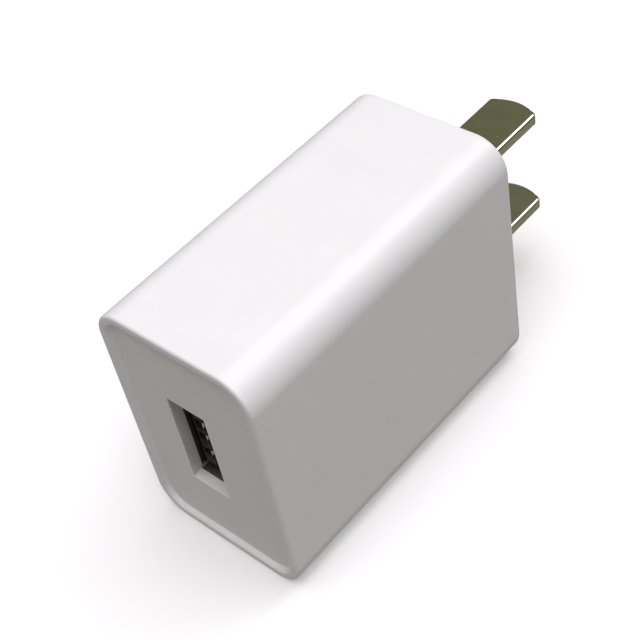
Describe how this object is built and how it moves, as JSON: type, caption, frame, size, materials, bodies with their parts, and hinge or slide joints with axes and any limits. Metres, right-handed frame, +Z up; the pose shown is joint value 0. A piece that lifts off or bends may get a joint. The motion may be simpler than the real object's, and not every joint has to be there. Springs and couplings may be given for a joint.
{
  "type": "usb wall charger",
  "caption": "White plastic mains charger with flat fixed blades on the rear wall and a recessed USB-A port in the front face.",
  "frame": {"origin": "on the rear wall face that meets the socket, midway between the two blades", "axes": "+Y out of the wall face along the blades, +Z up with the charger lying on a narrow long side, +X to the right of someone who looks at the port"},
  "size_m": [0.0208, 0.0555, 0.0314],
  "materials": {
    "case_white": "satin white moulding",
    "retainer_white": "natural moulding",
    "blade_nickel": "nickel plate",
    "tinned_steel": "tin plate",
    "spring_bronze": "bright phosphor bronze",
    "port_black": "black moulding",
    "board_green": "solder mask",
    "film_clear": "insulating film",
    "ferrite": "ground ferrite",
    "bobbin_black": "phenolic moulding",
    "tape_yellow": "polyester tape",
    "sleeve_blue": "shrunk sleeve",
    "sleeve_green": "shrunk sleeve",
    "can_aluminium": "bare can",
    "ceramic_blue": "dipped coating",
    "resistor_green": "lacquered body",
    "chip_black": "epoxy moulding",
    "chip_tan": "fired ceramic"
  },
  "bodies": {
    "charger": {"housing": "case_white", "front_panel": "case_white", "live_blade": "blade_nickel", "neutral_blade": "blade_nickel", "blade_retainer": "retainer_white", "live_contact_spring": "spring_bronze", "neutral_contact_spring": "spring_bronze", "usb_shell": "tinned_steel", "usb_insulator": "port_black", "usb_tail_ground": "spring_bronze", "usb_tail_data_plus": "spring_bronze", "usb_tail_data_minus": "spring_bronze", "usb_tail_vbus": "spring_bronze", "circuit_board": "board_green", "insulation_sheet": "film_clear", "transformer_core_rear": "ferrite", "transformer_core_front": "ferrite", "transformer_bobbin": "bobbin_black", "transformer_winding": "tape_yellow", "transformer_core_tape": "tape_yellow", "transformer_pin_rear_1": "tinned_steel", "transformer_pin_rear_2": "tinned_steel", "transformer_pin_rear_3": "tinned_steel", "transformer_pin_rear_4": "tinned_steel", "transformer_pin_front_1": "tinned_steel", "transformer_pin_front_2": "tinned_steel", "transformer_pin_front_3": "tinned_steel", "transformer_pin_front_4": "tinned_steel", "input_capacitor_rear": "sleeve_blue", "input_capacitor_front": "sleeve_blue", "output_capacitor": "sleeve_green", "output_polymer_capacitor": "can_aluminium", "filter_inductor": "sleeve_green", "fusible_resistor": "resistor_green", "y_capacitor": "ceramic_blue", "bridge_rectifier": "chip_black", "controller_chip": "chip_black", "snubber_diode": "chip_black", "output_diode": "chip_black", "snubber_resistor": "chip_black", "snubber_capacitor": "chip_tan", "start_resistor": "chip_black", "feedback_resistor": "chip_black", "bias_capacitor": "chip_tan", "data_resistor": "chip_black", "output_resistor": "chip_black"},
    "ground_contact": {"usb_contact_ground": "spring_bronze"},
    "data_plus_contact": {"usb_contact_data_plus": "spring_bronze"},
    "data_minus_contact": {"usb_contact_data_minus": "spring_bronze"},
    "vbus_contact": {"usb_contact_vbus": "spring_bronze"},
    "lower_finger": {"usb_shell_finger_lower": "tinned_steel"},
    "upper_finger": {"usb_shell_finger_upper": "tinned_steel"}
  },
  "joints": [
    {"name": "ground_contact_press", "type": "hinge", "parent": "charger", "child": "ground_contact", "pos_m": [-0.00225, -0.02825, -0.0035], "axis": [0, 0, -1], "range_deg": [0, 4], "stiffness_Nm_per_rad": 0.05},
    {"name": "data_plus_contact_press", "type": "hinge", "parent": "charger", "child": "data_plus_contact", "pos_m": [-0.00225, -0.02825, -0.001], "axis": [0, 0, -1], "range_deg": [0, 4], "stiffness_Nm_per_rad": 0.05},
    {"name": "data_minus_contact_press", "type": "hinge", "parent": "charger", "child": "data_minus_contact", "pos_m": [-0.00225, -0.02825, 0.001], "axis": [0, 0, -1], "range_deg": [0, 4], "stiffness_Nm_per_rad": 0.05},
    {"name": "vbus_contact_press", "type": "hinge", "parent": "charger", "child": "vbus_contact", "pos_m": [-0.00225, -0.02825, 0.0035], "axis": [0, 0, -1], "range_deg": [0, 4], "stiffness_Nm_per_rad": 0.05},
    {"name": "lower_finger_flex", "type": "hinge", "parent": "charger", "child": "lower_finger", "pos_m": [0.00146, -0.02945, -0.0032], "axis": [0, 0, 1], "range_deg": [0, 5], "stiffness_Nm_per_rad": 0.05},
    {"name": "upper_finger_flex", "type": "hinge", "parent": "charger", "child": "upper_finger", "pos_m": [0.00146, -0.02945, 0.0032], "axis": [0, 0, 1], "range_deg": [0, 5], "stiffness_Nm_per_rad": 0.05}
  ]
}
